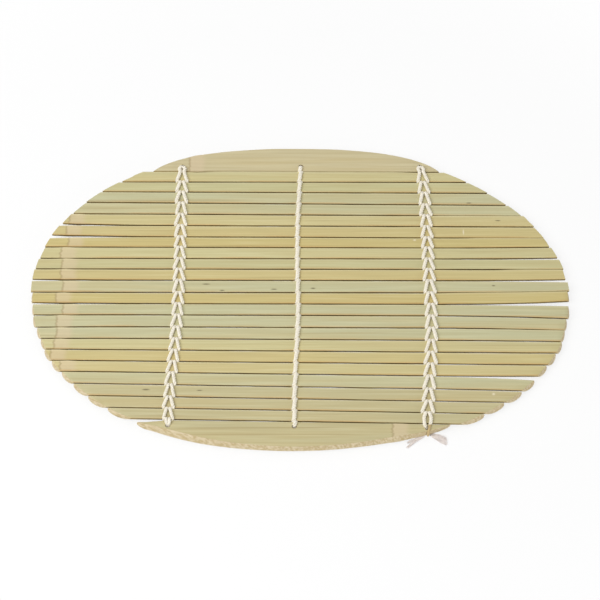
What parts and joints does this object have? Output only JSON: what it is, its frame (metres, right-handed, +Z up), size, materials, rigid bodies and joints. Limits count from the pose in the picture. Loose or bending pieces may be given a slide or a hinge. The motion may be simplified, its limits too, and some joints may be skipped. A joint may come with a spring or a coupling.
{
  "type": "bamboo steamer mat",
  "caption": "Oval mat of parallel split-bamboo slats and end boards, chain-stitched together with cotton strings; lies flat in a steamer or on a plate and rolls up.",
  "frame": {"origin": "the point of the ground under the middle of the mat", "axes": "+X along the slats to the right, +Y towards the back board, +Z up out of the top face"},
  "size_m": [0.241, 0.1565, 0.0055],
  "materials": {
    "bamboo": "dry split bamboo, planed, matt to satin",
    "string": "twisted undyed cotton"
  },
  "bodies": {
    "back_board": {"back_board": "bamboo", "left_back_knot": "string", "centre_back_knot": "string", "right_back_knot": "string"},
    "slat_01": {"slat_01": "bamboo", "left_string_1": "string", "centre_string_1": "string", "right_string_1": "string"},
    "slat_02": {"slat_02": "bamboo"},
    "slat_03": {"slat_03": "bamboo"},
    "slat_04": {"slat_04": "bamboo", "left_string_2": "string", "centre_string_2": "string", "right_string_2": "string"},
    "slat_05": {"slat_05": "bamboo"},
    "slat_06": {"slat_06": "bamboo"},
    "slat_07": {"slat_07": "bamboo", "left_string_3": "string", "centre_string_3": "string", "right_string_3": "string"},
    "slat_08": {"slat_08": "bamboo"},
    "slat_09": {"slat_09": "bamboo"},
    "slat_10": {"slat_10": "bamboo", "left_string_4": "string", "centre_string_4": "string", "right_string_4": "string"},
    "slat_11": {"slat_11": "bamboo"},
    "slat_12": {"slat_12": "bamboo"},
    "slat_13": {"slat_13": "bamboo", "left_string_5": "string", "centre_string_5": "string", "right_string_5": "string"},
    "slat_14": {"slat_14": "bamboo"},
    "slat_15": {"slat_15": "bamboo"},
    "slat_16": {"slat_16": "bamboo", "left_string_6": "string", "centre_string_6": "string", "right_string_6": "string"},
    "slat_17": {"slat_17": "bamboo"},
    "slat_18": {"slat_18": "bamboo"},
    "slat_19": {"slat_19": "bamboo", "left_string_7": "string", "centre_string_7": "string", "right_string_7": "string"},
    "slat_20": {"slat_20": "bamboo"},
    "slat_21": {"slat_21": "bamboo"},
    "slat_22": {"slat_22": "bamboo", "left_string_8": "string", "centre_string_8": "string", "right_string_8": "string"},
    "front_board": {"front_board": "bamboo", "left_front_knot": "string", "centre_front_knot": "string", "right_front_knot": "string", "right_string_tails": "string"}
  },
  "joints": [
    {"name": "gap_01", "type": "hinge", "parent": "slat_01", "child": "back_board", "pos_m": [0, 0.06519, 0.00375], "axis": [1, 0, 0], "range_deg": [-14, 14], "deforming": ["left_string_1", "centre_string_1", "right_string_1"]},
    {"name": "gap_02", "type": "hinge", "parent": "slat_02", "child": "slat_01", "pos_m": [0, 0.05926, 0.00375], "axis": [1, 0, 0], "range_deg": [-14, 14], "deforming": ["left_string_1", "centre_string_1", "right_string_1"]},
    {"name": "gap_03", "type": "hinge", "parent": "slat_03", "child": "slat_02", "pos_m": [0, 0.05333, 0.00375], "axis": [1, 0, 0], "range_deg": [-15, 15], "deforming": ["left_string_1", "left_string_2", "centre_string_1", "centre_string_2", "right_string_1", "right_string_2"]},
    {"name": "gap_04", "type": "hinge", "parent": "slat_04", "child": "slat_03", "pos_m": [0, 0.04741, 0.00375], "axis": [1, 0, 0], "range_deg": [-15, 15], "deforming": ["left_string_2", "centre_string_2", "right_string_2"]},
    {"name": "gap_05", "type": "hinge", "parent": "slat_05", "child": "slat_04", "pos_m": [0, 0.04148, 0.00375], "axis": [1, 0, 0], "range_deg": [-15, 15], "deforming": ["left_string_2", "centre_string_2", "right_string_2"]},
    {"name": "gap_06", "type": "hinge", "parent": "slat_06", "child": "slat_05", "pos_m": [0, 0.03556, 0.00375], "axis": [1, 0, 0], "range_deg": [-16, 16], "deforming": ["left_string_2", "left_string_3", "centre_string_2", "centre_string_3", "right_string_2", "right_string_3"]},
    {"name": "gap_07", "type": "hinge", "parent": "slat_07", "child": "slat_06", "pos_m": [0, 0.02963, 0.00375], "axis": [1, 0, 0], "range_deg": [-16, 16], "deforming": ["left_string_3", "centre_string_3", "right_string_3"]},
    {"name": "gap_08", "type": "hinge", "parent": "slat_08", "child": "slat_07", "pos_m": [0, 0.0237, 0.00375], "axis": [1, 0, 0], "range_deg": [-16, 16], "deforming": ["left_string_3", "centre_string_3", "right_string_3"]},
    {"name": "gap_09", "type": "hinge", "parent": "slat_09", "child": "slat_08", "pos_m": [0, 0.01778, 0.00375], "axis": [1, 0, 0], "range_deg": [-17, 17], "deforming": ["left_string_3", "left_string_4", "centre_string_3", "centre_string_4", "right_string_3", "right_string_4"]},
    {"name": "gap_10", "type": "hinge", "parent": "slat_10", "child": "slat_09", "pos_m": [0, 0.01185, 0.00375], "axis": [1, 0, 0], "range_deg": [-17, 17], "deforming": ["left_string_4", "centre_string_4", "right_string_4"]},
    {"name": "gap_11", "type": "hinge", "parent": "slat_11", "child": "slat_10", "pos_m": [0, 0.00593, 0.00375], "axis": [1, 0, 0], "range_deg": [-18, 18], "deforming": ["left_string_4", "centre_string_4", "right_string_4"]},
    {"name": "gap_12", "type": "hinge", "parent": "slat_11", "child": "slat_12", "pos_m": [0, 0, 0.00375], "axis": [-1, 0, 0], "range_deg": [-19, 19], "deforming": ["left_string_4", "left_string_5", "centre_string_4", "centre_string_5", "right_string_4", "right_string_5"]},
    {"name": "gap_13", "type": "hinge", "parent": "slat_12", "child": "slat_13", "pos_m": [0, -0.00593, 0.00375], "axis": [-1, 0, 0], "range_deg": [-19, 19], "deforming": ["left_string_5", "centre_string_5", "right_string_5"]},
    {"name": "gap_14", "type": "hinge", "parent": "slat_13", "child": "slat_14", "pos_m": [0, -0.01185, 0.00375], "axis": [-1, 0, 0], "range_deg": [-20, 20], "deforming": ["left_string_5", "centre_string_5", "right_string_5"]},
    {"name": "gap_15", "type": "hinge", "parent": "slat_14", "child": "slat_15", "pos_m": [0, -0.01778, 0.00375], "axis": [-1, 0, 0], "range_deg": [-21, 21], "deforming": ["left_string_5", "left_string_6", "centre_string_5", "centre_string_6", "right_string_5", "right_string_6"]},
    {"name": "gap_16", "type": "hinge", "parent": "slat_15", "child": "slat_16", "pos_m": [0, -0.0237, 0.00375], "axis": [-1, 0, 0], "range_deg": [-22, 22], "deforming": ["left_string_6", "centre_string_6", "right_string_6"]},
    {"name": "gap_17", "type": "hinge", "parent": "slat_16", "child": "slat_17", "pos_m": [0, -0.02963, 0.00375], "axis": [-1, 0, 0], "range_deg": [-23, 23], "deforming": ["left_string_6", "centre_string_6", "right_string_6"]},
    {"name": "gap_18", "type": "hinge", "parent": "slat_17", "child": "slat_18", "pos_m": [0, -0.03556, 0.00375], "axis": [-1, 0, 0], "range_deg": [-24, 24], "deforming": ["left_string_6", "left_string_7", "centre_string_6", "centre_string_7", "right_string_6", "right_string_7"]},
    {"name": "gap_19", "type": "hinge", "parent": "slat_18", "child": "slat_19", "pos_m": [0, -0.04148, 0.00375], "axis": [-1, 0, 0], "range_deg": [-26, 26], "deforming": ["left_string_7", "centre_string_7", "right_string_7"]},
    {"name": "gap_20", "type": "hinge", "parent": "slat_19", "child": "slat_20", "pos_m": [0, -0.04741, 0.00375], "axis": [-1, 0, 0], "range_deg": [-28, 28], "deforming": ["left_string_7", "centre_string_7", "right_string_7"]},
    {"name": "gap_21", "type": "hinge", "parent": "slat_20", "child": "slat_21", "pos_m": [0, -0.05333, 0.00375], "axis": [-1, 0, 0], "range_deg": [-31, 31], "deforming": ["left_string_7", "left_string_8", "centre_string_7", "centre_string_8", "right_string_7", "right_string_8"]},
    {"name": "gap_22", "type": "hinge", "parent": "slat_21", "child": "slat_22", "pos_m": [0, -0.05926, 0.00375], "axis": [-1, 0, 0], "range_deg": [-34, 34], "deforming": ["left_string_8", "centre_string_8", "right_string_8"]},
    {"name": "gap_23", "type": "hinge", "parent": "slat_22", "child": "front_board", "pos_m": [0, -0.06519, 0.00375], "axis": [-1, 0, 0], "range_deg": [-39, 39], "deforming": ["left_string_8", "centre_string_8", "right_string_8"]}
  ]
}
